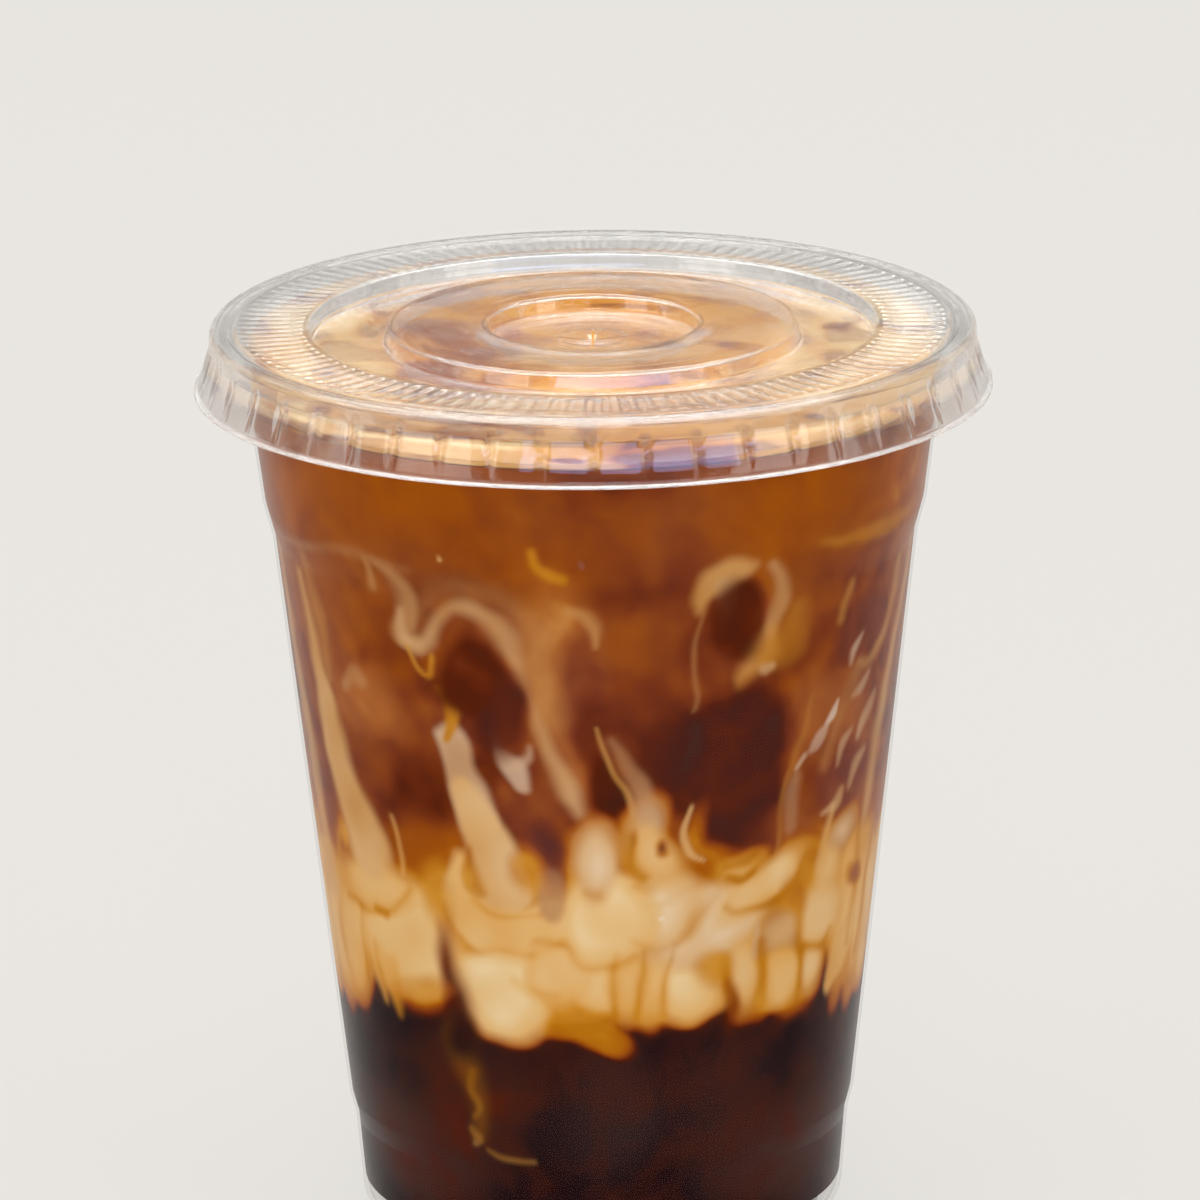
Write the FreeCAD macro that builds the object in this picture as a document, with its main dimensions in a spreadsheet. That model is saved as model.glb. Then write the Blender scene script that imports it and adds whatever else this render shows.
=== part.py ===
import FreeCAD, Part
import math
import os
import re
import Sketcher
from FreeCAD import Vector

# An iced latte in a clear takeaway cup with a flat press-on lid, in millimetres.
# The axis of the cup is Z, the cup stands on the plane Z = 0, and the drink lies in
# three layers: dark coffee at the foot, milk above it and amber coffee up to the level.

sizes = {
    # cup, outside
    "cupHeight": 119.7,
    "rimRadius": 49.0,
    "curlRadius": 1.8,
    "cupWall": 0.5,
    "bandHeight": 22.2,
    "bandInset": 5.66,
    "shoulderHeight": 4.5,
    "shoulderStep": 1.2,
    "footRadius": 31.95,
    "footFlare": 0.75,
    "footHeight": 13.2,
    "stackStep": 0.8,
    "stackRise": 3.0,
    "heelRadius": 4.0,
    "panelRadius": 22.0,
    "panelRise": 3.0,
    "panelSlope": 3.5,
    # lid
    "lidWall": 0.5,
    "rimGap": 0.3,
    "skirtDrop": 7.8,
    "skirtFlare": 1.6,
    "lipWidth": 0.5,
    "lipHeight": 0.3,
    "ringWidth": 10.3,
    "troughDepth": 2.3,
    "discRadius": 26.6,
    "wellRadius": 13.8,
    "wellDepth": 2.1,
    "lidDraft": 0.4,
    "lugCount": 48,
    "lugAngle": 3.2,
    "lugBite": 0.6,
    "lugGap": 0.5,
    "lugHeight": 4.6,
    "slotLength": 9.0,
    "slotWidth": 0.6,
    # drink
    "headroom": 7.0,
    "darkDepth": 32.0,
    "milkDepth": 21.0,
}

doc = FreeCAD.newDocument("IcedLatte")

sheet = doc.addObject("Spreadsheet::Sheet", "Sizes")
for row, (alias, value) in enumerate(sizes.items(), start=1):
    sheet.set(f"A{row}", alias)
    sheet.set(f"B{row}", str(value))
    sheet.setAlias(f"B{row}", alias)
doc.recompute()


def inSheet(expression):
    """The expression with each size named as a cell of the sheet."""
    return re.sub(r"[A-Za-z]+", lambda word: ("Sizes." if word[0] in sizes else "") + word[0],
                  expression)


def valueOf(expression):
    """The expression's value, from the same cells."""
    return float(sheet.evalExpression(inSheet(expression)))


def originPlane(body, role):
    return next(part for part in body.Origin.OriginFeatures if part.Role == role)


def newSketch(body, name, role):
    """A sketch on one of the body's own origin planes."""
    sketch = body.newObject("Sketcher::SketchObject", name)
    sketch.AttachmentSupport = [(originPlane(body, role), "")]
    sketch.MapMode = "FlatFace"
    return sketch


def arcBetween(start, end, radius, leftTurn):
    """The short arc from start to end; the centre lies to the left on a left turn."""
    chord = end - start
    middle = (start + end) * 0.5
    rise = math.sqrt(max(radius ** 2 - (chord.Length / 2) ** 2, 0.0))
    side = Vector(-chord.y, chord.x, 0).normalize() * (rise if leftTurn else -rise)
    centre = middle + side
    first, last = (start, end) if leftTurn else (end, start)
    circle = Part.Circle(centre, Vector(0, 0, 1), radius)
    return Part.ArcOfCircle(circle, circle.parameter(first), circle.parameter(last))


def closedProfile(sketch, corners):
    """Draws a closed outline and ties each corner to the sheet.

    A corner is (across, up) or (across, up, radius, turn): the last two say that the
    edge to the next corner is an arc that turns left or right.
    """
    places = [Vector(valueOf(corner[0]), valueOf(corner[1]), 0) for corner in corners]
    edges = []
    for index, corner in enumerate(corners):
        start, end = places[index], places[(index + 1) % len(places)]
        if len(corner) == 2:
            edges.append((Part.LineSegment(start, end), 1, 2))
        else:
            left = corner[3] == "left"
            arc = arcBetween(start, end, valueOf(corner[2]), left)
            edges.append((arc, 1 if left else 2, 2 if left else 1))
    for edge in edges:
        sketch.addGeometry(edge[0], False)
    for index in range(len(corners)):
        following = (index + 1) % len(corners)
        sketch.addConstraint(Sketcher.Constraint(
            "Coincident", index, edges[index][2], following, edges[following][1]))
    for index, corner in enumerate(corners):
        startPoint = edges[index][1]
        place = places[index]
        for kind, value, expression in (("DistanceX", place.x, corner[0]),
                                        ("DistanceY", place.y, corner[1])):
            number = sketch.addConstraint(Sketcher.Constraint(
                kind, -1, 1, index, startPoint, value))
            sketch.setExpression(f"Constraints[{number}]", inSheet(expression))
        if len(corner) > 2:
            number = sketch.addConstraint(Sketcher.Constraint(
                "Radius", index, valueOf(corner[2])))
            sketch.setExpression(f"Constraints[{number}]", inSheet(corner[2]))


def revolve(body, name, sketch, angle=360, midplane=False):
    """Turns a sketch drawn in the XZ plane round the Z axis."""
    feature = body.newObject("PartDesign::Revolution", name)
    feature.Profile = sketch
    feature.ReferenceAxis = (sketch, ["V_Axis"])
    feature.Angle = angle
    feature.Midplane = midplane
    return feature


def onCircle(across, up, radius, degrees):
    """The corner on a circle at an angle from the radial direction."""
    return (f"{across} + ( {radius} ) * cos( {degrees} deg )",
            f"{up} + ( {radius} ) * sin( {degrees} deg )")


# Places on the cup that several pieces share.
footTop = "footRadius + footFlare"
stackTop = "footRadius + footFlare + stackStep"
bandRadius = "rimRadius - bandInset"
bandBottom = "cupHeight - bandHeight"
curlCentre = ("rimRadius - curlRadius", "cupHeight - curlRadius")
panelEdge = "panelRadius + panelSlope"
level = "cupHeight - headroom"


def wallLine(inset):
    """The side of the cup from the shoulder band down to the heel, moved inwards."""
    return [
        (f"{bandRadius} - {inset}", bandBottom),
        (f"{bandRadius} - shoulderStep - {inset}", f"{bandBottom} - shoulderHeight"),
        (f"{stackTop} - {inset}", "footHeight + stackRise"),
        (f"{footTop} - {inset}", "footHeight"),
    ]


def innerFloor():
    """The inside of the heel, the foot ring and the raised panel, down to the axis."""
    return [
        ("footRadius - cupWall", "heelRadius", "heelRadius - cupWall", "right"),
        ("footRadius - heelRadius", "cupWall"),
        (panelEdge, "cupWall"),
        ("panelRadius", "panelRise + cupWall"),
        ("0", "panelRise + cupWall"),
    ]


def makeCup():
    """One thin wall, with a rolled rim, a shoulder, a stacking step and a raised panel."""
    topAngle, endAngle = 60, -100
    outside = [
        ("0", "panelRise"),
        ("panelRadius", "panelRise"),
        (panelEdge, "0"),
        ("footRadius - heelRadius", "0", "heelRadius", "left"),
        ("footRadius", "heelRadius"),
    ] + wallLine("0")[::-1]
    inner = "curlRadius - cupWall"
    curl = [
        onCircle(*curlCentre, inner, 180) + (inner, "right"),
        onCircle(*curlCentre, inner, topAngle) + (inner, "right"),
        onCircle(*curlCentre, inner, endAngle),
        onCircle(*curlCentre, "curlRadius", endAngle) + ("curlRadius", "left"),
        onCircle(*curlCentre, "curlRadius", topAngle) + ("curlRadius", "left"),
        onCircle(*curlCentre, "curlRadius", 180),
    ]
    body = doc.addObject("PartDesign::Body", "CupBody")
    body.Label = "cup"
    sketch = newSketch(body, "CupSection", "XZ_Plane")
    closedProfile(sketch, outside + curl + wallLine("cupWall") + innerFloor())
    revolve(body, "CupWall", sketch)
    return body


def makeLid():
    """A thin sheet: flared skirt, bead over the rim, flat ring, trough, disc and well."""
    ringInner = "rimRadius - curlRadius - ringWidth"
    beadBottom = "cupHeight - curlRadius - rimGap"
    beadRadius = "curlRadius + rimGap"
    beadEdge = "rimRadius + rimGap"
    skirtBottom = "cupHeight - skirtDrop"
    top = "cupHeight + lidWall"
    troughTop = f"{top} - troughDepth"
    wellTop = f"{top} - wellDepth"
    upper = [
        ("0", wellTop),
        ("wellRadius - lidDraft", wellTop),
        ("wellRadius", top),
        ("discRadius", top),
        ("discRadius + lidDraft", troughTop),
        (f"{ringInner} - lidDraft", troughTop),
        (ringInner, top),
        (curlCentre[0], top, f"{beadRadius} + lidWall", "right"),
        (f"{beadEdge} + lidWall", beadBottom),
        (f"{beadEdge} + skirtFlare + lidWall", f"{skirtBottom} + 2 * lipHeight"),
        (f"{beadEdge} + skirtFlare + lidWall + lipWidth", f"{skirtBottom} + lipHeight"),
        (f"{beadEdge} + skirtFlare + lidWall + lipWidth", skirtBottom),
    ]
    lower = [
        (f"{beadEdge} + skirtFlare + lipWidth", skirtBottom),
        (f"{beadEdge} + skirtFlare", f"{skirtBottom} + lipHeight"),
        (beadEdge, beadBottom, beadRadius, "left"),
        (curlCentre[0], "cupHeight"),
        (f"{ringInner} + lidWall", "cupHeight"),
        (f"{ringInner} - lidDraft + lidWall", "cupHeight - troughDepth"),
        ("discRadius + lidDraft - lidWall", "cupHeight - troughDepth"),
        ("discRadius - lidWall", "cupHeight"),
        ("wellRadius + lidWall", "cupHeight"),
        ("wellRadius - lidDraft + lidWall", "cupHeight - wellDepth"),
        ("0", "cupHeight - wellDepth"),
    ]
    body = doc.addObject("PartDesign::Body", "LidBody")
    body.Label = "lid"
    sketch = newSketch(body, "LidSection", "XZ_Plane")
    closedProfile(sketch, upper + lower)
    revolve(body, "LidSheet", sketch)

    # Lugs: small wedges inside the skirt that catch under the rolled rim.
    lugRoot = f"{beadEdge} + lidWall / 2"
    skirtHeight = "( skirtDrop - lipHeight - curlRadius - rimGap )"
    lugSketch = newSketch(body, "LugSection", "XZ_Plane")
    closedProfile(lugSketch, [
        (lugRoot, beadBottom),
        ("rimRadius - lugBite", "cupHeight - 2 * curlRadius - lugGap"),
        (f"{lugRoot} + skirtFlare * lugHeight / {skirtHeight}",
         f"{beadBottom} - lugHeight"),
    ])
    lug = revolve(body, "Lug", lugSketch, valueOf("lugAngle"), True)
    lug.setExpression("Angle", inSheet("lugAngle"))
    doc.recompute()
    pattern = body.newObject("PartDesign::PolarPattern", "Lugs")
    pattern.Originals = [lug]
    pattern.Axis = (lugSketch, ["V_Axis"])
    pattern.Angle = 360
    pattern.setExpression("Occurrences", inSheet("lugCount"))
    body.Tip = pattern
    doc.recompute()

    # The straw slot: two crossing slits through the floor of the well.
    slotSketch = newSketch(body, "SlotOutline", "XY_Plane")
    half, side = "slotLength / 2", "slotWidth / 2"
    closedProfile(slotSketch, [
        (half, side), (side, side), (side, half), (f"0 - {side}", half),
        (f"0 - {side}", side), (f"0 - {half}", side),
        (f"0 - {half}", f"0 - {side}"), (f"0 - {side}", f"0 - {side}"),
        (f"0 - {side}", f"0 - {half}"), (side, f"0 - {half}"),
        (side, f"0 - {side}"), (half, f"0 - {side}"),
    ])
    slot = body.newObject("PartDesign::Pocket", "StrawSlot")
    slot.Profile = slotSketch
    slot.Type = "ThroughAll"
    slot.Reversed = True
    body.Tip = slot
    return body


def makeFill():
    """The whole drink: the inside of the cup up to the level."""
    curlInner = "rimRadius - 2 * curlRadius"
    band = f"{bandRadius} - cupWall"
    rise = f"( {level} - ( {bandBottom} ) ) / ( bandHeight - curlRadius )"
    body = doc.addObject("PartDesign::Body", "FillBody")
    body.Label = "fill"
    sketch = newSketch(body, "FillSection", "XZ_Plane")
    closedProfile(sketch, [
        ("0", level),
        (f"{band} + ( {curlInner} - ( {band} ) ) * {rise}", level),
    ] + wallLine("cupWall") + innerFloor())
    revolve(body, "FillShape", sketch)
    return body


# Each wave of a layer's top: how high, how many crests round the cup, where the first is.
darkWaves = [(1.4, 2, 35.0), (2.2, 5, 100.0), (1.6, 9, 20.0)]
milkWaves = [(2.6, 2, 250.0), (3.4, 5, 60.0), (2.4, 8, 200.0)]
swirlTurn = 40.0


def waveHeight(x, y, reach, waves):
    """How far a layer's top lies above its mean height; crests fade towards the axis."""
    distance = math.hypot(x, y) / reach
    angle = math.degrees(math.atan2(y, x)) + swirlTurn * distance
    fade = min(distance, 1.0) ** 2
    return sum(height * fade * math.cos(math.radians(crests * angle + start))
               for height, crests, start in waves)


def makeLayerBlock(name, depth, waves):
    """Everything below a layer's wavy top, wider and deeper than the drink."""
    steps = 16
    reach = valueOf("rimRadius")
    places = [reach * (2 * step / steps - 1) for step in range(steps + 1)]
    grid = [[Vector(x, y, depth + waveHeight(x, y, reach, waves)) for y in places]
            for x in places]
    surface = Part.BSplineSurface()
    surface.interpolate(grid)
    block = doc.addObject("Part::Feature", name)
    block.Shape = surface.toShape().extrude(Vector(0, 0, -2 * depth))
    return block


def makeLayers(fill):
    """Cuts the drink along the two wavy tops."""
    belowDark = makeLayerBlock("BelowDark", valueOf("darkDepth"), darkWaves)
    belowMilk = makeLayerBlock("BelowMilk", valueOf("darkDepth + milkDepth"), milkWaves)
    dark = doc.addObject("Part::Common", "DarkLayer")
    dark.Base, dark.Tool = fill, belowDark
    dark.Label = "coffee_dark"
    lower = doc.addObject("Part::Common", "LowerDrink")
    lower.Base, lower.Tool = fill, belowMilk
    milk = doc.addObject("Part::Cut", "MilkLayer")
    milk.Base, milk.Tool = lower, belowDark
    milk.Label = "milk_layer"
    amber = doc.addObject("Part::Cut", "AmberLayer")
    amber.Base, amber.Tool = fill, belowMilk
    amber.Label = "coffee_amber"
    return [dark, milk, amber]


cup = makeCup()
lid = makeLid()
layers = makeLayers(makeFill())
pieces = [cup, lid] + layers
doc.recompute()

for part in doc.Objects:
    if "Invalid" in part.State or "Error" in part.State:
        raise RuntimeError(f"{part.Label} failed: {part.State}")
for piece in pieces:
    if piece.Shape.isNull() or not piece.Shape.isValid():
        raise RuntimeError(f"{piece.Label} has no valid shape")
    if len(piece.Shape.Solids) != 1:
        raise RuntimeError(f"{piece.Label} has {len(piece.Shape.Solids)} solids")

os.makedirs("parts", exist_ok=True)
for piece in pieces:
    piece.Shape.exportStep(f"parts/{piece.Label}.step")
    print(f"{piece.Label}: {piece.Shape.Volume / 1000:.2f} cm3")
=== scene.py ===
import math

import bmesh
import bpy
import numpy as np
from mathutils import Euler, Matrix, Vector


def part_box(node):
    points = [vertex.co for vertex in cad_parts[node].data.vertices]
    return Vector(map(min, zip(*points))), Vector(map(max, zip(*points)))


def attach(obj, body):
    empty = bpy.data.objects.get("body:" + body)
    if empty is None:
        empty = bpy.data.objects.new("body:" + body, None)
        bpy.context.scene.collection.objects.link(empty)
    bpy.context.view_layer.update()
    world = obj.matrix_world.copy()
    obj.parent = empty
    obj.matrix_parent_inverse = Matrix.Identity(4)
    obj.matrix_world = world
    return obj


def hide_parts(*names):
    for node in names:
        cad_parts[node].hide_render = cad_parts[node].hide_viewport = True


# Iced latte in a clear takeaway cup. Lengths in the dictionaries are millimetres and
# angles are degrees round the cup: 0 is the front (-Y), positive turns towards +X.

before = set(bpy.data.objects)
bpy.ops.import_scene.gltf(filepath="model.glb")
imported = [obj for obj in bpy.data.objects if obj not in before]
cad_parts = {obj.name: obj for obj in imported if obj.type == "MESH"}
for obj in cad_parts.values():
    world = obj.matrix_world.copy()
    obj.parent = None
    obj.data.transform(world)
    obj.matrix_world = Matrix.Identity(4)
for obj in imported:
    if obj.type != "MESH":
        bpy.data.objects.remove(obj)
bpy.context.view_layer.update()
scene = bpy.context.scene
mm = 0.001

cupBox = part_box("cup")
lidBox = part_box("lid")
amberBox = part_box("coffee_amber")
rimTop = cupBox[1][2] / mm          # top of the rolled rim
lidTop = lidBox[1][2] / mm          # flat top of the lid
skirtBottom = lidBox[0][2] / mm     # lower edge of the lid's skirt
lidRadius = lidBox[1][0] / mm
level = amberBox[1][2] / mm         # surface of the drink
print("frame loaded, cup", round(rimTop, 1), "mm high, drink level", round(level, 1))


def roundedPath(corners, longest=2.0):
    # corners are (radius, height, fillet); the path follows them with rounded corners
    points = []
    last = len(corners) - 1
    for index, (r, z, fillet) in enumerate(corners):
        here = np.array((r, z))
        if fillet == 0 or index in (0, last):
            points.append(here)
            continue
        before = np.array(corners[index - 1][:2]) - here
        after = np.array(corners[index + 1][:2]) - here
        reachBefore, reachAfter = np.linalg.norm(before), np.linalg.norm(after)
        before, after = before / reachBefore, after / reachAfter
        halfAngle = math.acos(max(-1.0, min(1.0, float(before @ after)))) / 2
        trim = min(fillet / math.tan(halfAngle), 0.48 * reachBefore, 0.48 * reachAfter)
        radius = trim * math.tan(halfAngle)
        centre = here + (before + after) / np.linalg.norm(before + after) * radius / math.sin(halfAngle)
        start, end = here + before * trim - centre, here + after * trim - centre
        sweep = math.pi - 2 * halfAngle
        turn = math.copysign(1.0, start[0] * end[1] - start[1] * end[0])
        steps = max(2, round(math.degrees(sweep) / (15 if fillet >= 1 else 30)))
        for step in range(steps + 1):
            a = turn * sweep * step / steps
            points.append(centre + np.array((start[0] * math.cos(a) - start[1] * math.sin(a),
                                             start[0] * math.sin(a) + start[1] * math.cos(a))))
    path = [points[0]]
    for point in points[1:]:
        gap = np.linalg.norm(point - path[-1])
        pieces = max(1, math.ceil(gap / longest))
        start = path[-1]
        path += [start + (point - start) * k / pieces for k in range(1, pieces + 1)]
    return np.array(path)


def arcPath(centre, radius, first, last, steps=10):
    # points on a circle in the section plane, angles from the outward direction
    angles = np.radians(np.linspace(first, last, steps + 1))
    return np.stack((centre[0] + radius * np.cos(angles), centre[1] + radius * np.sin(angles)), axis=1)


def ringsFromPath(path, columns):
    # the path turned round Z, as an array of rings x columns x 3
    angles = np.linspace(0, 2 * math.pi, columns, endpoint=False)
    r, z = path[:, 0][:, None], path[:, 1][:, None]
    return np.stack((r * np.sin(angles), -r * np.cos(angles), z + 0 * angles), axis=2)


def meshFromRings(name, rings, joined, floats=None):
    # joined: the last ring meets the first; otherwise both ends close on the axis
    count, columns = rings.shape[:2]
    verts = rings.reshape(-1, 3) * mm
    rows = count if joined else count - 1
    row, column = np.meshgrid(np.arange(rows), np.arange(columns), indexing="ij")
    nextRow, nextColumn = (row + 1) % count, (column + 1) % columns
    quads = np.stack((row * columns + column, row * columns + nextColumn,
                      nextRow * columns + nextColumn, nextRow * columns + column), axis=-1).reshape(-1, 4)
    if joined:
        # the section runs clockwise, so the faces are turned to look outwards
        faces = quads[:, ::-1].tolist()
    else:
        faces = quads.tolist()
        ends = [rings[0].mean(axis=0), rings[-1].mean(axis=0)]
        verts = np.vstack((verts, np.array(ends) * mm))
        base, top = count * columns, count * columns + 1
        lastRow = (count - 1) * columns
        for c in range(columns):
            d = (c + 1) % columns
            faces.append((base, d, c))
            faces.append((top, lastRow + c, lastRow + d))
    mesh = bpy.data.meshes.new(name)
    mesh.from_pydata(verts.tolist(), [], faces)
    mesh.polygons.foreach_set("use_smooth", np.ones(len(faces), dtype=bool))
    for key, values in (floats or {}).items():
        layer = mesh.attributes.new(key, "FLOAT", "POINT")
        flat = values.reshape(-1).astype(np.float32)
        if not joined:
            flat = np.concatenate((flat, flat[:1], flat[-1:]))
        layer.data.foreach_set("value", flat)
    mesh.set_sharp_from_angle(angle=math.radians(52))
    mesh.update()
    piece = bpy.data.objects.new(name, mesh)
    scene.collection.objects.link(piece)
    return piece


def finishPiece(piece, material, node):
    piece.data.materials.append(material)
    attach(piece, "root")
    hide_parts(node)
    print("made", piece.name, len(piece.data.polygons), "faces")


def newMaterial(name):
    material = bpy.data.materials.new(name)
    material.use_nodes = True
    return material, material.node_tree


def setInputs(tree, node, inputs):
    # each input is given a value or joined to another node's output
    for key, value in inputs.items():
        if isinstance(value, bpy.types.NodeSocket):
            tree.links.new(value, node.inputs[key])
        else:
            node.inputs[key].default_value = value


def addNode(tree, kind, inputs=None):
    node = tree.nodes.new("ShaderNode" + kind)
    setInputs(tree, node, inputs or {})
    return node


def mathNode(tree, operation, *values):
    node = addNode(tree, "Math")
    node.operation = operation
    setInputs(tree, node, dict(enumerate(values)))
    return node.outputs["Value"]


def rangeNode(tree, value, fromMin, fromMax, toMin, toMax):
    inputs = {"Value": value, "From Min": fromMin, "From Max": fromMax, "To Min": toMin, "To Max": toMax}
    return addNode(tree, "MapRange", inputs).outputs["Result"]


def noiseNode(tree, place, scale, detail, distortion=0.0):
    inputs = {"Vector": place, "Scale": scale, "Detail": detail, "Distortion": distortion}
    return addNode(tree, "TexNoise", inputs).outputs["Fac"]


def rampNode(tree, value, stops):
    # stops are positions and colours
    node = addNode(tree, "ValToRGB", {"Fac": value})
    elements = node.color_ramp.elements
    while len(elements) < len(stops):
        elements.new(0.5)
    for element, (position, colour) in zip(elements, stops):
        element.position = position
        element.color = colour
    return node.outputs["Color"]


def mixColours(tree, factor, first, second):
    node = addNode(tree, "Mix")
    node.data_type = "RGBA"
    setInputs(tree, node, {"Factor": factor, "A": first, "B": second})
    return node.outputs["Result"]


def mixShaders(tree, factor, first, second):
    # the shaders are nodes, and so is the result
    return addNode(tree, "MixShader", {"Fac": factor, 1: first.outputs[0], 2: second.outputs[0]})


def toSurface(tree, shader):
    tree.links.new(shader.outputs[0], tree.nodes["Material Output"].inputs["Surface"])


def clearPlastic(name, colour, roughness, straight):
    # straight: the share of the light that passes without bending
    material, tree = newMaterial(name)
    # faint flow lines of the formed sheet
    place = addNode(tree, "TexCoord").outputs["Object"]
    stretched = addNode(tree, "Mapping", {"Vector": place, "Scale": (75, 75, 45)}).outputs["Vector"]
    flow = noiseNode(tree, stretched, 1.0, 2.0)
    bump = addNode(tree, "Bump", {"Strength": 0.22, "Distance": 0.0008, "Height": flow})
    glass = tree.nodes["Principled BSDF"]
    setInputs(tree, glass, {"Base Color": colour, "Roughness": roughness, "IOR": 1.5,
                            "Transmission Weight": 1.0, "Normal": bump.outputs["Normal"]})
    # the haze in the sheet
    haze = addNode(tree, "BsdfDiffuse", {"Color": (0.95, 0.94, 0.92, 1)})
    # lamps shine through the thin wall
    paths = addNode(tree, "LightPath").outputs
    through = addNode(tree, "BsdfTransparent", {"Color": (0.985, 0.985, 0.985, 1)})
    lit = mathNode(tree, "MAXIMUM", paths["Is Shadow Ray"], paths["Is Diffuse Ray"])
    share = mathNode(tree, "MAXIMUM", lit, straight)
    toSurface(tree, mixShaders(tree, share, mixShaders(tree, 0.008, glass, haze), through))
    return material


def thinSheet(name):
    # a clear wall that bends no light: seen straight through, with gloss that grows towards its edges
    material, tree = newMaterial(name)
    tree.nodes.remove(tree.nodes["Principled BSDF"])
    patches = noiseNode(tree, addNode(tree, "TexCoord").outputs["Object"], 90.0, 2.0)
    tint = rampNode(tree, patches, [(0.0, (0.955, 0.95, 0.945, 1)), (1.0, (0.985, 0.985, 0.985, 1))])
    through = addNode(tree, "BsdfTransparent", {"Color": tint})
    gloss = addNode(tree, "BsdfGlossy", {"Roughness": 0.06})
    # the gloss lies on the outer face alone
    steep = mathNode(tree, "POWER", addNode(tree, "LayerWeight").outputs["Facing"], 5.0)
    outer = rangeNode(tree, addNode(tree, "NewGeometry").outputs["Backfacing"], 0.0, 1.0, 0.8, 0.0)
    toSurface(tree, mixShaders(tree, mathNode(tree, "MULTIPLY_ADD", steep, outer, 0.004), through, gloss))
    return material


cup = {
    "wall": 0.5,
    "curl": 1.8,            # radius of the rolled rim
    "rimRadius": 49.0,
    "columns": 288,
    # outside of the wall from the middle of the base up: radius, height, fillet
    "outside": [(0, 3.0, 0), (22.0, 3.0, 1.2), (25.5, 0, 1.0), (31.6, 0, 4.0), (32.7, 13.2, 1.6),
                (33.5, 16.2, 1.6), (42.14, 93.0, 4.0), (43.34, 97.5, 4.0), (45.9, rimTop - 1.8, 0)],
}


def makeCup():
    wall, curl = cup["wall"], cup["curl"]
    outside = roundedPath(cup["outside"], 3.0)
    centre = (cup["rimRadius"] - curl, rimTop - curl)
    hollow = arcPath(centre, curl - wall, 180, -100, 14)
    rolled = arcPath(centre, curl, -100, 180, 18)
    # inside, from the rim down the wall and in over the raised base
    insideCorners = [(centre[0] - curl, centre[1], 0)]
    insideCorners += [(r - wall, z, fillet) for r, z, fillet in cup["outside"][7:3:-1]]
    insideCorners += [(31.6 - wall, wall, 3.5), (25.7, wall, 1.0), (22.2, 3.0 + wall, 1.2),
                      (0, 3.0 + wall, 0)]
    inside = roundedPath(insideCorners, 3.0)
    path = np.vstack((outside[1:-1], hollow, rolled, inside[1:-1]))
    piece = meshFromRings("clearCup", ringsFromPath(path, cup["columns"]), False)
    finishPiece(piece, thinSheet("clear cup plastic"), "cup")


lid = {
    "wall": 0.5,
    "columns": 720,
    "wellRadius": 13.4, "wellDepth": 2.1,       # sunk centre
    "discRadius": 26.6,
    "troughRadius": 36.5, "troughDepth": 2.3,
    "grooveRadius": 46.9, "grooveDepth": 0.35,  # fine groove just inside the bead
    "beadRadius": 49.8, "skirtRadius": 51.3, "shoulder": lidTop - 2.6,
    "draft": 0.4,
    "ribs": 120, "ribDepth": 0.32, "ribInner": 38.2, "ribOuter": 46.0,
    "lugs": 48, "lugDepth": 0.5, "lugWidth": 1.9, "lugHeight": 4.0,
    "slotReach": 4.5, "slotGap": 0.35, "flapTip": 0.45, "flapSag": 0.5,
}


def lidPath():
    # the section: out over the top, down the skirt and back along the underside
    wall, draft, skirt, shoulder = lid["wall"], lid["draft"], skirtBottom, lid["shoulder"]
    well, disc, trough = lid["wellRadius"], lid["discRadius"], lid["troughRadius"]
    groove, bead, slotReach = lid["grooveRadius"], lid["beadRadius"], lid["slotReach"]
    wellFloor, troughFloor = lidTop - lid["wellDepth"], lidTop - lid["troughDepth"]
    grooveFloor, under = lidTop - lid["grooveDepth"], lidTop - wall
    upper = [(slotReach, wellFloor, 0), (well, wellFloor, 0.5), (well + draft, lidTop, 0.45),
             (disc, lidTop, 0.5), (disc + draft, troughFloor, 0.5), (trough, troughFloor, 0.5),
             (trough + draft, lidTop, 0.45), (groove - 0.7, lidTop, 0.3), (groove, grooveFloor, 0.4),
             (groove + 0.7, lidTop, 0.5), (bead, lidTop, 2.0), (bead, shoulder, 0.5),
             (lid["skirtRadius"], skirt + 0.7, 0.3), (lidRadius, skirt + 0.4, 0.15), (lidRadius, skirt, 0)]
    lower = [(lidRadius - wall, skirt, 0), (lid["skirtRadius"] - wall, skirt + 0.3, 0.3),
             (bead - wall, shoulder, 0.5), (bead - wall, under, 1.5), (groove + 0.8, under, 0.4),
             (groove, grooveFloor - wall, 0.4), (groove - 0.8, under, 0.3),
             (trough + draft + wall, under, 0.3), (trough + wall, troughFloor - wall, 0.5),
             (disc + draft - wall, troughFloor - wall, 0.5), (disc - wall, under, 0.3),
             (well + draft + wall, under, 0.3), (well + wall, wellFloor - wall, 0.5),
             (slotReach, wellFloor - wall, 0)]
    return np.vstack((roundedPath(upper, 1.5), roundedPath(lower, 4.0)))


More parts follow.
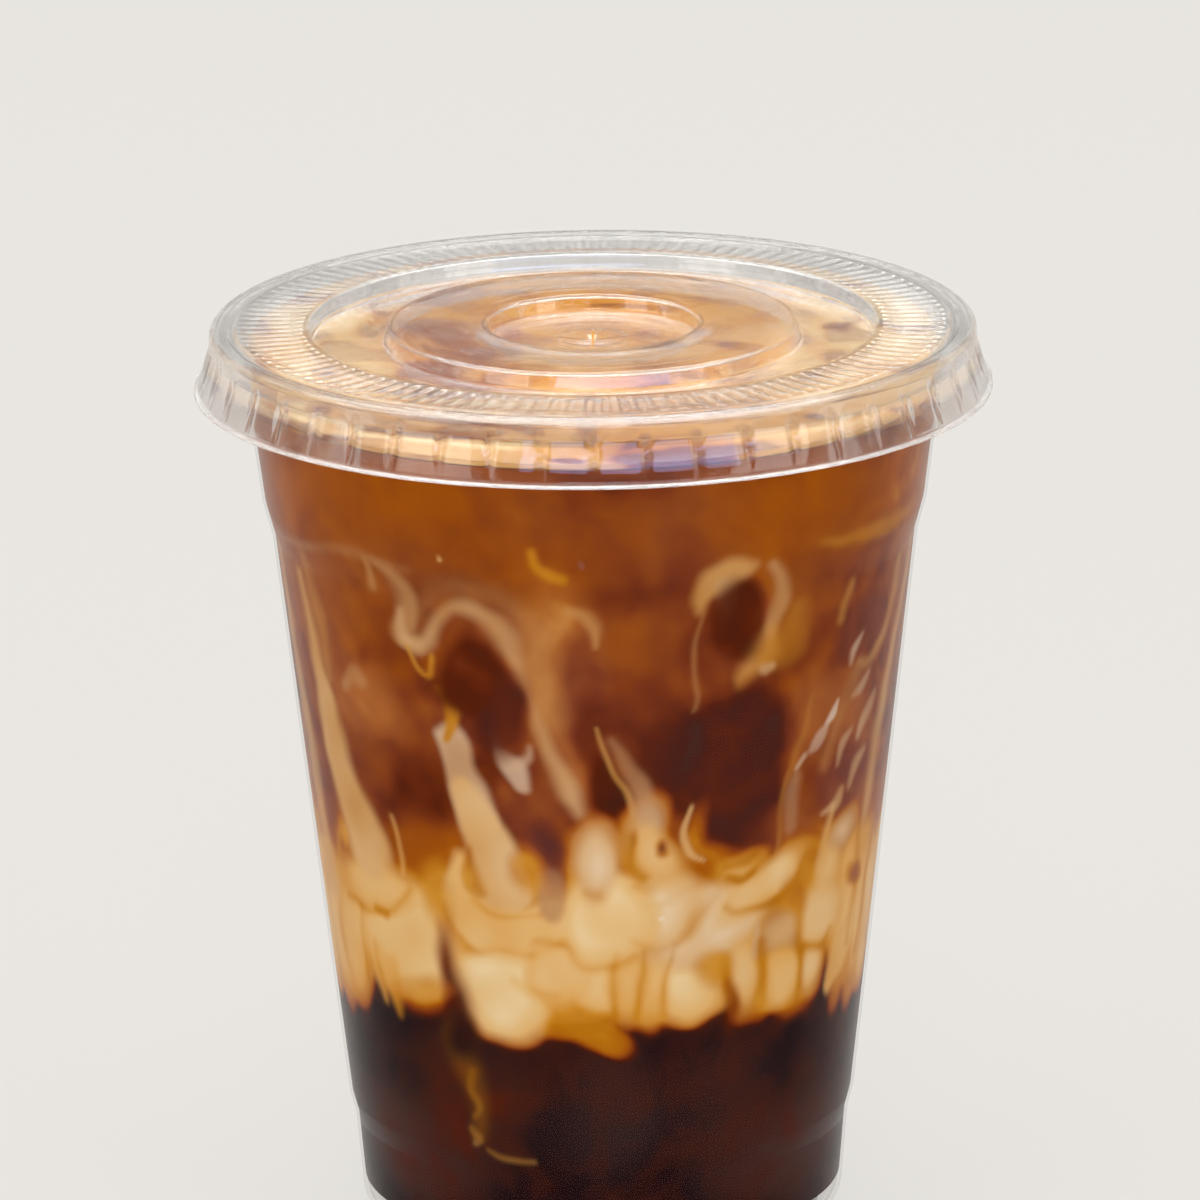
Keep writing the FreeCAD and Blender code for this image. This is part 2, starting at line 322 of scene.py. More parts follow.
def makeLidSheet():
    path = lidPath()
    rings = ringsFromPath(path, lid["columns"])
    angles = np.linspace(0, 2 * math.pi, lid["columns"], endpoint=False)[None, :]
    r, z = path[:, 0][:, None], path[:, 1][:, None]
    # radial ribs pressed into the flat ring
    flat = np.clip((r - lid["ribInner"]) / 0.8, 0, 1) * np.clip((lid["ribOuter"] - r) / 0.8, 0, 1)
    wave = 0.5 - 0.5 * np.cos(angles * lid["ribs"])
    rings[:, :, 2] -= lid["ribDepth"] * flat * wave
    # tapered lugs dented into the skirt, widest at the shoulder
    down = (lid["shoulder"] + 0.2 - z) / lid["lugHeight"]
    onSkirt = (r > 49.0) & (down > 0) & (down < 1)
    turn = (angles * lid["lugs"] / (2 * math.pi) + 0.5) % 1 - 0.5
    across = np.abs(turn) * 2 * math.pi * 50 / lid["lugs"]
    width = lid["lugWidth"] / 2 * (1 - 0.75 * np.clip(down, 0, 1))
    dent = np.clip(1 - across / width, 0, 1) ** 0.6
    dent *= np.clip(down * 6, 0, 1) * np.clip((1 - down) * 3, 0, 1)
    push = np.where(onSkirt, dent * lid["lugDepth"], 0)
    rings[:, :, 0] -= push * np.sin(angles)
    rings[:, :, 1] += push * np.cos(angles)
    return meshFromRings("clearLid", rings, True)


def makeFlaps():
    # the four flaps of the cross-cut straw slot, which sag a little towards the middle
    verts, faces = [], []
    reach, gap, top = lid["slotReach"], lid["slotGap"] / 2, lidTop - lid["wellDepth"]
    tip = lid["flapTip"]
    steps, bands = 18, 8
    for quarter in range(4):
        base = len(verts)
        for side in (0, -lid["wall"]):
            for band in range(bands + 1):
                r = tip + (reach - tip) * band / bands
                edge = math.asin(min(1, gap / r))
                for step in range(steps + 1):
                    a = edge + (math.pi / 2 - 2 * edge) * step / steps + quarter * math.pi / 2
                    sag = lid["flapSag"] * (1 - r / reach) ** 1.3
                    verts.append((r * math.cos(a) * mm, r * math.sin(a) * mm, (top + side - sag) * mm))
        row, layer = steps + 1, (steps + 1) * (bands + 1)
        for band in range(bands):
            for step in range(steps):
                a = base + band * row + step
                faces.append((a, a + row, a + row + 1, a + 1))
                faces.append((a + layer, a + layer + 1, a + layer + row + 1, a + layer + row))
        for band in range(bands):
            a, b = base + band * row, base + band * row + steps
            faces.append((a, a + layer, a + layer + row, a + row))
            faces.append((b, b + row, b + layer + row, b + layer))
        for step in range(steps):
            a, b = base + step, base + bands * row + step
            faces.append((a, a + 1, a + layer + 1, a + layer))
            faces.append((b, b + layer, b + layer + 1, b + 1))
    mesh = bpy.data.meshes.new("slotFlaps")
    mesh.from_pydata(verts, [], faces)
    flaps = bpy.data.objects.new("slotFlaps", mesh)
    scene.collection.objects.link(flaps)
    return flaps


def makeLid():
    plastic = clearPlastic("clear lid plastic", (1.0, 1.0, 1.0, 1), 0.02, 0.38)
    for piece in (makeLidSheet(), makeFlaps()):
        finishPiece(piece, plastic, "lid")


drink = {
    "frontColumns": 520, "backColumns": 200, "frontAngle": 95.0,   # finer round the front
    "sink": 0.1,             # how far the drink reaches into the wall
    "skin": 0.3,             # the sides end this far under the drink's surface
    "mean": 38.0,            # radius that turns angles into lengths along the wall
    "darkEdge": 32.0, "milkEdge": 53.0, "foot": 4.4,
    # waves of the layers' tops: height, crests round the cup, where the first is
    "darkWaves": [(1.4, 2, 35), (2.2, 5, 100), (1.6, 9, 20)],
    "milkWaves": [(2.6, 2, 250), (3.4, 5, 60), (2.4, 8, 200)],
    "swirl": 40.0, "waveReach": 49.0,
}

# coffee tones, dark to gold, by height: the ground on which the forms are painted
coffeeByHeight = [(0, 0.05), (34, 0.04), (38, 0.30), (42, 0.85), (50, 0.95), (56, 0.84), (62, 0.52),
                  (72, 0.43), (88, 0.48), (98, 0.54), (112, 0.57)]

# pools of one tone: angle, height, half width, half height, lean, softness, strength, tone, rosiness
pools = [
    # the upper coffee
    (-46, 104, 17, 8, 0, 6, 0.85, 0.7, 0), (-16, 105, 9, 6, 0, 5, 0.6, 0.62, 0),
    (-33, 98, 7, 4, 0, 4, 0.5, 0.56, 0.2), (14, 102.5, 11, 8, 0, 4, 0.9, 0.47, 0.3),
    (2, 104, 5, 7, 0, 3, 0.6, 0.58, 0), (39, 104.5, 13, 7, 0, 4, 0.9, 0.75, 0),
    (-8, 98, 8, 4, 0, 4, 0.5, 0.68, 0), (-62, 84, 7, 12, 0, 4, 0.5, 0.66, 0.4),
    # the next two: painted reflection, the upper coffee lighter and pinker at the cup's left and right
    # edges
    (-76, 98, 7, 16, 0, 6, 0.6, 0.7, 0.6), (77, 98, 7, 16, 0, 6, 0.6, 0.74, 0.5),
    (-52, 92, 8, 6, 0, 4, 0.6, 0.7, 0.2), (-39, 80, 4, 9, 0, 3, 0.6, 0.66, 0),
    (-49, 76.5, 7, 5.6, 0, 2.6, 0.9, 0.72, 0.6), (-49, 68.5, 8, 4.6, 0, 3, 0.7, 0.5, 0.2),
    (-36, 66, 5.4, 5.6, 0, 2, 0.9, 0.35, 0), (-37, 58.5, 5.6, 4, 0, 2, 0.85, 0.72, 0),
    (-66, 61, 2.2, 7, -10, 1.2, 0.75, 0.48, 0.4), (45, 96, 7, 5, 0, 4, 0.6, 0.62, 0.2),
    (-6.5, 85, 5.2, 11, 4, 2.4, 0.85, 0.96, 0.6), (-5, 73, 3.4, 6, 0, 2.2, 0.8, 0.66, 0.7),
    (-22, 77, 3.4, 3.4, 0, 1.4, 0.6, 0.28, 0.2), (-21, 69.8, 2, 3.8, -20, 0.7, 0.85, 0.38, 0),
    (-14, 67, 4, 2.4, 0, 1.5, 0.6, 0.56, 0.4), (-14, 62.4, 4.2, 3.4, 0, 0.8, 0.85, 0.43, 0.4),
    (-10, 59, 1.6, 3.6, 8, 1.5, 0.85, 0.3, 0.9), (-2.6, 84, 2.9, 7.6, 0, 1.5, 0.85, 0.42, 0.5),
    (-0.6, 75, 2, 6, 0, 1.2, 0.8, 0.3, 0), (0.8, 67.6, 2.4, 4.8, 0, 0.9, 0.92, 0.22, 0),
    (10, 88.5, 8, 4, 0, 3, 0.7, 0.6, 0.1), (9, 94, 6, 3.4, 0, 3, 0.6, 0.46, 0.2),
    (9, 77.5, 7, 5.4, 0, 2.5, 0.85, 0.34, 0.25), (24, 96, 5, 3, 0, 2, 0.5, 0.78, 0),
    (26.5, 91, 3.9, 6.4, 14, 1, 0.97, 0.31, 0), (20, 88, 2.6, 6, 0, 1.6, 0.7, 0.4, 0.1),
    (43, 90, 4, 8, 0, 3, 0.6, 0.54, 0.1), (58, 85, 5.4, 4.8, 10, 1.6, 0.85, 0.43, 0.5),
    (26, 74, 9.6, 6.6, 0, 2.2, 0.95, 0.19, 0.2), (17, 71.5, 6, 4.8, 0, 2, 0.9, 0.2, 0.2),
    (29, 65.5, 6.6, 6.5, -10, 1.6, 0.94, 0.2, 0.2), (33, 60, 3.2, 3.6, 0, 1.2, 0.85, 0.3, 0.3),
    (46, 76, 4.6, 6, 0, 3, 0.75, 0.66, 0.6), (58, 73, 4.6, 4, 0, 3, 0.6, 0.8, 0.9),
    (58, 64, 6.6, 5, 0, 2, 0.8, 0.46, 0.9), (41, 60.4, 4.4, 3, 0, 2, 0.7, 0.6, 0.4),
    # gold between the billows
    (-33.5, 50.6, 3.2, 6, 0, 1.5, 0.9, 0.99, 0), (-14, 56.4, 3, 4, 0, 1.5, 0.9, 0.97, 0),
    (5, 60, 1.6, 5, -10, 1, 0.9, 0.76, 0), (21, 57, 3.4, 3.2, 0, 1.5, 0.8, 0.84, 0),
    (19.5, 61.6, 1.3, 3.8, -14, 1, 0.85, 0.92, 0), (43, 49.6, 3.6, 4.4, 35, 1.2, 0.9, 0.9, 0),
    (24.5, 42.4, 3, 2.6, 0, 1.2, 0.9, 0.98, 0), (45, 35.2, 3.4, 2.2, 0, 1.5, 0.9, 0.92, 0),
    (-40, 37.4, 4.4, 1.8, 6, 1.5, 0.9, 0.97, 0), (35, 37, 2.4, 3, 0, 1.2, 0.9, 0.98, 0),
    # the dark base
    (-32.2, 41.4, 1.6, 5.4, -8, 0.9, 0.92, 0.16, 0), (-31, 34, 2.6, 3.4, 0, 1.4, 0.92, 0.05, 0),
    (-30, 23, 9, 9, 0, 6, 0.9, 0.19, 0.06), (28, 22, 8, 9, 0, 6, 0.8, 0.12, 0.1),
    (-50, 14, 12, 6, 0, 5, 0.8, 0.19, 0.3), (50, 14, 12, 6, 0, 5, 0.8, 0.18, 0.3),
    (0, 22, 8, 8, 0, 5, 0.6, 0, 0.1), (4, 24, 5, 8, 0, 4, 0.5, 0.1, 0.16),
]

# the milk's broad bed behind the billows: angle, height, half width, half height, lean, softness,
# strength, tone
beds = [
    (-78, 45, 12, 8, 0, 2, 0.8, 0.3), (-49, 44.6, 9.6, 7.4, 0, 1.6, 0.75, 0.28),
    (-20, 46.5, 8, 5, 6, 1.4, 0.6, 0.14), (0, 44.5, 11, 7.4, 0, 1.4, 0.85, 0.2),
    (20, 45, 10, 7.8, 0, 1.4, 0.8, 0.2), (44, 45.4, 10, 8, 0, 1.6, 0.75, 0.14),
    (66, 47, 8, 9.2, 0, 1.6, 0.9, 0.3), (88, 46, 10, 9, 0, 2, 0.8, 0.3),
]

# rounded billows of milk, back ones first: angle, height, half width, half height, lean, tone, greyness
lobes = [
    (-81, 41, 6, 9, 0, 0.4, 0), (-70.5, 42, 4.8, 9.4, 0, 0.44, 0), (-63, 42, 4.8, 8.4, 0, 0.42, 0),
    (-43, 44.4, 9.8, 7.4, 0, 0.62, 0), (-51.6, 50.8, 7.8, 3.5, 0, 0.54, 0),
    (-19, 42.2, 6.2, 3.2, 8, 0.38, 0), (-8, 37.4, 6, 3, -8, 0.12, 0), (0, 33.8, 3, 1.4, -20, 0.02, 0),
    (-21, 39.4, 7.2, 6.3, -6, 0.8, 0), (0, 41.6, 3.8, 4, -20, 0.64, 0),
    (-8, 42.4, 4.3, 4.6, -24, 0.68, 0), (18, 40.6, 5, 4.4, 16, 0.68, 0),
    (10.4, 41.2, 2.4, 4.6, 0, 0.58, 0), (5.4, 41.2, 2.5, 4.6, 0, 0.56, 0),
    (20.6, 48.6, 11.2, 5.6, 6, 0.72, 0.34), (10.5, 51.4, 7, 5.6, 0, 0.74, 0.25),
    (1.8, 50.6, 6.8, 7, 0, 0.76, 0), (-0.8, 58.4, 3, 5, 8, 0.66, 0.4),
    (40, 44.8, 3.5, 3.4, 0, 0.42, 0.45), (40.5, 38.9, 4, 4, 20, 0.54, 0),
    (31, 40.8, 2.3, 4.6, 0, 0.64, 0.1), (77, 42, 5.6, 10, 0, 0.42, 0), (68, 43.5, 3.4, 10.4, 4, 0.44, 0),
    (61.5, 44.5, 3.2, 9.4, 0, 0.46, 0), (49.6, 38.6, 2.6, 3, -15, 0.7, 0.15),
    (53, 52.4, 2.6, 4, 0, 0.56, 0.1), (51.6, 46.4, 5.4, 4.6, 0, 0.64, 0.12),
    (28.6, 55.6, 3.4, 2.4, 20, 0.34, 0.1), (34.6, 52.4, 7.2, 3.3, 28, 0.64, 0.08),
    (8.8, 63.6, 2.6, 3.6, -30, 0.44, 0.75), (10.6, 59.6, 5.8, 3.2, -52, 0.56, 0.12),
    (57, 57, 3.4, 2.4, 20, 0.5, 0.6),
]

# strands of milk, and painted highlights drawn the same way: tone at each end, greyness, strength,
# softness, points of angle, height, half width
strandsAndHighlights = [
    (0.3, 0.5, 0.3, 0.88, 1.2, [(-66, 92, 0.5), (-65, 86, 0.8), (-64, 79, 1.4), (-62, 75, 2.2),
        (-59.5, 69, 2.9), (-57, 63, 3.5), (-53.5, 59, 4), (-52, 56, 4.2)]),
    (0.42, 0.42, 0.4, 0.65, 1.5, [(-78, 92, 0.8), (-77, 80, 1.6), (-75, 70, 2), (-73.5, 62, 1.9),
        (-72, 55, 2), (-71, 49, 2)]),
    (0.46, 0.2, 0, 0.8, 1.1, [(-53, 41, 1.8), (-52.2, 38, 1.5), (-51.4, 35.2, 0.4)]),
    (0.4, 0.08, 0, 0.8, 1.1, [(-48.6, 40, 1.7), (-47.8, 37, 1.3), (-47.2, 34.2, 0.4)]),
    (0.14, 0.18, 0.3, 0.5, 1.4, [(-63, 95, 0.6), (-61, 87, 1.4), (-60, 79, 0.8)]),
    (0.4, 0.4, 0.1, 0.6, 0.4, [(-44, 62, 0.2), (-42.8, 58, 0.35), (-42.8, 53.6, 0.35)]),
    (0.66, 0.42, 0.75, 0.88, 0.8, [(-30.6, 74.6, 0.9), (-28, 73.6, 2.3), (-26, 69, 2.5),
        (-23.4, 63.6, 3.1)]),
    (0.5, 0.6, 0.25, 0.94, 0.9, [(-26, 67, 1.8), (-23, 62.6, 3.2), (-20.6, 58.4, 3.9), (-19, 54.6, 3.6)]),
    (0.54, 0.66, 0, 0.96, 0.9, [(-28.6, 58.4, 1), (-29.2, 53.6, 2.2), (-25.6, 50.3, 3.2),
        (-19.5, 48.5, 3.6), (-14.5, 48.3, 3.5), (-10.6, 50, 3)]),
    (0.36, 0.26, 0.7, 0.8, 0.9, [(-10, 56, 1.7), (-10, 51.6, 1.9)]),
    (0.5, 0.62, 0.85, 0.75, 0.6, [(-19.6, 76, 0.2), (-17.6, 73.4, 0.7), (-15.6, 71.6, 1.3),
        (-14.4, 69.4, 0.8)]),
    (0.5, 0.55, 0.85, 0.65, 0.6, [(-15.8, 72, 0.9), (-13.4, 73.2, 0.5), (-12.6, 74.6, 0.2)]),
    (0.16, 0.16, 0.5, 0.35, 2, [(-34, 90.6, 1), (-26, 95, 1.2), (-16, 93.6, 1.6), (-11, 87, 1.8),
        (-8, 78, 1.8)]),
    (0.38, 0.38, 0.55, 0.8, 1, [(-36, 87.2, 0.8), (-31.5, 87.8, 1), (-28, 90.6, 0.8), (-24, 92.5, 0.7),
        (-19.5, 91.6, 0.9), (-16.6, 89.4, 1), (-14.2, 86, 0.8), (-12.4, 81.6, 0.6), (-10.4, 77.2, 0.6),
        (-8.8, 73, 0.9), (-6.6, 68.4, 1), (-4.6, 65, 0.4)]),
    (0.26, 0.44, 0.5, 0.6, 1, [(-41.5, 97, 0.3), (-38, 96.4, 0.8), (-35.4, 93.4, 1.3),
        (-35.4, 90.4, 1.5), (-36.4, 88.4, 1.6), (-33.6, 87, 1.2)]),
    (0.56, 0.56, 0.6, 0.6, 0.7, [(-36.8, 91.4, 0.4), (-36.8, 89, 0.8), (-35, 87.4, 0.5)]),
    (0.26, 0.22, 0.4, 0.5, 0.6, [(-43.4, 96.8, 0.4), (-42.8, 94, 0.7)]),
    (0.16, 0.16, 0, 0.7, 0.35, [(-35.4, 86.6, 0.3), (-34, 83.6, 0.35), (-31.8, 83, 0.3),
        (-30.4, 86, 0.35)]),
    (0.02, 0.06, 0, 0.9, 0.6, [(-30.6, 81.4, 0.4), (-28.4, 79.4, 0.8), (-27.8, 76.8, 0.9),
        (-29, 74, 0.6)]),
    (0.06, 0.06, 0, 0.85, 0.5, [(-9.6, 100.8, 0.5), (-8.8, 98.8, 0.7), (-5, 97.6, 0.8)]),
    (0.26, 0.3, 0.4, 0.6, 0.7, [(-6, 93.6, 0.6), (-3, 92.8, 0.8), (-0.8, 91, 0.7), (-0.4, 88.6, 0.4)]),
    (0.22, 0.3, 0.3, 0.7, 0.4, [(0.6, 76.8, 0.2), (2.6, 70.6, 0.4), (5.4, 65.6, 0.5), (6.4, 61.6, 0.5)]),
    (0.16, 0.3, 0.7, 0.6, 0.9, [(3.4, 75, 0.5), (6.4, 70.4, 1.2), (8.4, 66, 1.8)]),
    (0.55, 0.6, 0.2, 0.75, 0.4, [(18.8, 65.8, 0.3), (17.4, 62.4, 0.5), (18.8, 59.2, 0.5),
        (20.6, 57.8, 0.3)]),
    (0.36, 0.34, 0.25, 0.8, 1, [(28.4, 98.6, 0.4), (25, 98, 1.7), (21.4, 97, 2.2), (18.4, 94.8, 1.3),
        (18, 92.6, 0.5)]),
    (0.5, 0.44, 0.6, 0.55, 0.9, [(22.4, 96, 1.2), (23.6, 93.4, 1.1), (23.8, 91, 0.4)]),
    (0.2, 0.16, 0.5, 0.6, 0.55, [(19, 92, 0.1), (17.8, 86, 0.2), (17, 79.6, 0.05)]),
    (0.3, 0.36, 0.5, 0.75, 0.8, [(31.6, 98, 0.4), (34.4, 94.8, 0.8), (35, 91.2, 1.1), (33.4, 87.6, 0.8)]),
    (0.26, 0.26, 0.25, 0.75, 1.2, [(33.8, 88, 0.8), (31, 84.6, 1.8), (25.8, 82, 0.7)]),
    (0.04, 0.02, 0.1, 0.55, 1.5, [(38.6, 90, 0.8), (37.2, 86, 2.2), (33, 84.2, 1.8)]),
    (0.5, 0.5, 0.6, 0.6, 0.5, [(33, 82.8, 0.5), (31.2, 82.4, 0.8)]),
    (0.2, 0.14, 0.3, 0.6, 0.8, [(51.6, 92, 0.5), (50.2, 87.8, 0.7)]),
    (0.3, 0.3, 0.4, 0.5, 0.9, [(57.4, 79.6, 0.4), (60.4, 79, 0.7), (64.6, 81, 0.7), (69, 86, 0.7),
        (73, 92, 0.6)]),
    (0.42, 0.36, 0.4, 0.65, 1.4, [(80, 93, 0.2), (76, 86, 1), (73, 79, 1.5), (70, 71, 1.4),
        (68, 64, 1.2), (67, 58, 1.2)]),
    (0.1, 0.2, 0.5, 0.45, 1.4, [(56, 78, 1.6), (52, 74, 1.2), (49, 68, 0.8)]),
    (0.75, 0.75, 1, 0.8, 0.4, [(50.6, 75.8, 0.3), (49, 74, 0.8), (47.4, 73.2, 0.3)]),
    (0.6, 0.6, 1, 0.6, 0.5, [(47.6, 72.8, 0.4), (46, 71.4, 1), (44.6, 70.4, 0.4)]),
    (0.65, 0.65, 0.9, 0.65, 0.4, [(43.2, 69.8, 0.4), (41.4, 68.2, 0.5)]),
    (0.45, 0.35, 0.8, 0.45, 0.9, [(41.6, 66.6, 0.8), (40.6, 63.6, 1.2), (40.4, 60.2, 1.1)]),
    (0.1, 0.1, 0.3, 0.4, 0.6, [(43.6, 78, 0.3), (41, 71, 0.5), (38, 64, 0.5), (36.4, 57, 0.4)]),
    (0.4, 0.46, 0.15, 0.65, 0.7, [(51.6, 61.4, 0.3), (50.4, 57, 0.7), (50.8, 53, 0.7)]),
    (0.42, 0.44, 0.1, 0.9, 0.8, [(64, 43, 1.9), (60.4, 39, 2.3), (57.4, 36, 1.3)]),
    (0.55, 0.55, 0.7, 0.6, 0.4, [(34.4, 46.8, 0.3), (34, 42.6, 0.5)]),
    (0, 0, 0, 0.2, 1.6, [(-31.6, 33, 2.4), (-30.6, 28, 1.8), (-29, 23, 1), (-28, 19, 0.8)]),
    (0, 0.1, 0, 0.3, 0.7, [(-29.4, 27.6, 0.5), (-31, 25.4, 0.5), (-29.4, 23.4, 0.4), (-30.2, 21.6, 0.3)]),
    (0.1, 0.3, 0.2, 0.34, 0.6, [(-30.4, 19.8, 0.4), (-28.2, 18.4, 0.7), (-28.8, 17.4, 0.5)]),
    (0.1, 0.3, 0.2, 0.38, 0.6, [(-25.6, 16.9, 0.2), (-21, 16.2, 0.5), (-15, 16.4, 0.3)]),
    # the next two: painted highlight along the cup's shoulder, on the left and on the right
    (0.2, 0.2, 0.6, 0.34, 0.7, [(-74, 95.8, 0.4), (-64, 96.8, 0.6), (-52, 97, 0.6), (-42, 97.4, 0.6),
        (-34, 97, 0.3)]),
    (0.1, 0.1, 0.1, 0.55, 0.8, [(70, 98.6, 0.7), (60, 98.2, 1), (50, 98.6, 0.8), (42, 99, 0.4)]),
    # painted highlight: a bright arc on an ice block
    (0.3, 0.3, 0.6, 0.5, 0.7, [(-53.5, 79.4, 0.7), (-50.4, 81, 1.1), (-47.4, 80, 0.7)]),
    # painted highlight: a small white glint
    (1, 1, 0.5, 0.95, 0.3, [(12.4, 49.8, 0.25), (12.7, 49.7, 0.25)]),
    (0.45, 0.45, 0, 0.8, 0.3, [(-27, 99.2, 0.25), (-26.8, 99, 0.25)]),
    (0.6, 0.5, 0.9, 0.6, 0.6, [(57.6, 84, 0.2), (55.8, 82.4, 0.7), (54.6, 80.4, 0.3)]),
    (0.55, 0.5, 0.9, 0.55, 0.6, [(60.6, 77.4, 0.3), (58.6, 76, 0.8), (56, 75.4, 0.3)]),
    (0.5, 0.6, 0.8, 0.6, 0.7, [(64.6, 74.6, 0.4), (62, 72, 1.1), (60.4, 69.4, 0.5)]),
    (0.5, 0.5, 0.8, 0.55, 0.6, [(56.8, 71, 0.3), (54.6, 69.6, 0.8), (53.6, 67.4, 0.3)]),
    (0.45, 0.45, 0.7, 0.6, 0.7, [(63, 66.6, 0.4), (60, 65.6, 1), (57, 63.4, 0.6)]),
    (0.5, 0.45, 0.5, 0.6, 0.6, [(54.4, 63.6, 0.3), (52.4, 61.4, 0.8), (49, 60.6, 0.4)]),
]

# creases drawn over the milk, painted shade where the billows meet, with coffee showing through: shade,
# clearing, softness, points of angle, height, half width
shadeCreases = [
    (0.4, 0.1, 0.7, [(-25, 53, 0.2), (-19, 50.8, 0.4), (-13, 50.6, 0.2)]),
    (0.7, 0.4, 0.7, [(-52.5, 47.9, 0.4), (-49.5, 47.4, 0.6)]),
    (0.55, 0.2, 0.8, [(-63, 48.2, 0.3), (-56, 47.2, 0.4), (-46, 48.6, 0.3), (-41, 51.2, 0.4)]),
    (0.35, 0.1, 0.6, [(-58.6, 47, 0.2), (-58.6, 42, 0.2), (-57.6, 37, 0.2)]),
    (0.3, 0.1, 0.8, [(-54, 43, 0.2), (-52.6, 39, 0.4), (-51, 36, 0.2)]),
    (0.85, 0.4, 0.8, [(-26.6, 59.4, 0.4), (-25.6, 56.6, 0.9), (-23.6, 54.6, 0.6)]),
    (0.5, 0.2, 0.8, [(2.6, 45, 0.1), (2.2, 41.6, 0.2), (3, 37, 0.3)]),
    (0.5, 0.2, 0.7, [(8, 45, 0.1), (7.6, 41, 0.3), (8, 37, 0.3)]),
    (0.5, 0.2, 0.7, [(14.4, 45, 0.1), (13.2, 41, 0.3), (13.4, 37, 0.3)]),
    (0.45, 0.2, 0.9, [(-13.5, 46.4, 0.3), (-7, 46.6, 0.4), (-4, 44.4, 0.4), (1, 43.6, 0.4),
        (6, 44.6, 0.3)]),
    (0.45, 0.1, 1, [(6.6, 46.6, 0.2), (10.4, 45.2, 0.5), (14.6, 46, 0.3)]),
    (0.55, 0.1, 1, [(15.6, 46.2, 0.2), (19.6, 49.2, 0.8), (23.4, 52, 0.3)]),
    (0.3, 0, 1, [(12, 52, 0.2), (16.6, 53.4, 0.5), (20.4, 54.4, 0.3)]),
    (0.6, 0.1, 0.8, [(8.4, 55.2, 0.4), (11.2, 54.2, 0.6)]),
    (0.8, 0.7, 0.6, [(12.6, 61.4, 0.5), (13.2, 59.8, 0.7)]),
    (0.5, 0.1, 0.9, [(-2.4, 54.6, 0.3), (1, 54.4, 0.5)]),
    (0.75, 0.3, 0.8, [(5.6, 62.4, 0.5), (6.8, 58.4, 0.5), (10, 56.2, 0.4)]),
    (0.6, 0.4, 0.7, [(26.4, 50.6, 0.2), (30, 49.4, 0.3), (36, 49.2, 0.5), (41, 51, 0.6),
        (46, 55.4, 0.4)]),
    (0.6, 0.5, 0.9, [(26.6, 43.4, 0.8), (27.4, 40, 0.5), (28, 36.6, 0.5)]),
    (0.6, 0.4, 0.8, [(35.2, 44, 0.4), (35, 40, 0.6), (34, 36.4, 0.6)]),
    (0.6, 0.4, 0.8, [(44.6, 48, 0.8), (45.2, 43, 0.6), (46, 36, 0.6)]),
    (0.5, 0.3, 0.8, [(47, 42.4, 0.4), (53, 41.4, 0.4), (56, 44, 0.4)]),
    (0.4, 0.1, 0.8, [(64.4, 56, 0.4), (64.4, 48, 0.4), (63.4, 40, 0.4)]),
    (0.55, 0.2, 0.9, [(72, 54, 0.6), (71, 46, 0.5), (69, 38, 0.5)]),
    (0.8, 0.5, 0.9, [(61.6, 50.6, 0.9), (65.6, 49.8, 1)]),
    (0.7, 0.3, 0.6, [(25.6, 54.6, 0.3), (29, 54, 0.6), (31.6, 55.4, 0.3)]),
    (0.5, 0.2, 0.7, [(25, 56.6, 0.2), (28.6, 57, 0.5), (31, 58, 0.2)]),
    (0.35, 0, 1, [(-24, 46.6, 0.3), (-20, 45.4, 0.5), (-14, 44.8, 0.3)]),
    (0.4, 0, 1, [(-17.5, 40.6, 0.3), (-14, 39.6, 0.6), (-8, 39.4, 0.4)]),
]

# coffee that lies in front of the milk, given like the pools
veils = [
    (-23.6, 83.4, 4.2, 6.2, -25, 1.1, 0.97, 0.31, 0), (-17.4, 78.4, 3.2, 6, -18, 1.1, 0.97, 0.27, 0.2),
    (-26.5, 80.6, 3, 2.6, -30, 1.2, 0.9, 0.32, 0), (26.3, 90.6, 3.5, 6, 14, 1.1, 0.95, 0.31, 0),
    (-32.4, 42.6, 1.4, 5.4, -6, 1.3, 0.95, 0.34, 0), (-31.4, 36.6, 2, 4.4, -4, 1.6, 0.95, 0.14, 0),
    (-30.6, 32.4, 2.6, 3, 0, 1.6, 0.95, 0.05, 0), (-33.6, 51.4, 2.4, 3.6, 0, 1.6, 0.75, 0.98, 0),
    (24.6, 42.8, 2.6, 2.2, -20, 1.3, 0.85, 0.97, 0), (27.6, 37.4, 0.9, 2.6, 0, 1.1, 0.9, 0.5, 0),
    (-10, 59.2, 1.3, 3.2, 8, 1.5, 0.8, 0.26, 0.8), (12.9, 60.8, 0.5, 0.8, 0, 0.8, 0.85, 0.2, 0.8),
    (63.6, 50.2, 1.7, 1.3, 0, 1.2, 0.9, 0.66, 0.3), (-14.2, 57, 2.2, 2.6, 0, 1.2, 0.8, 0.96, 0),
    (-39.5, 38.4, 3.4, 1.1, 8, 1.2, 0.8, 0.96, 0), (43.4, 50.4, 1.6, 2.8, 38, 1, 0.85, 0.86, 0),
]


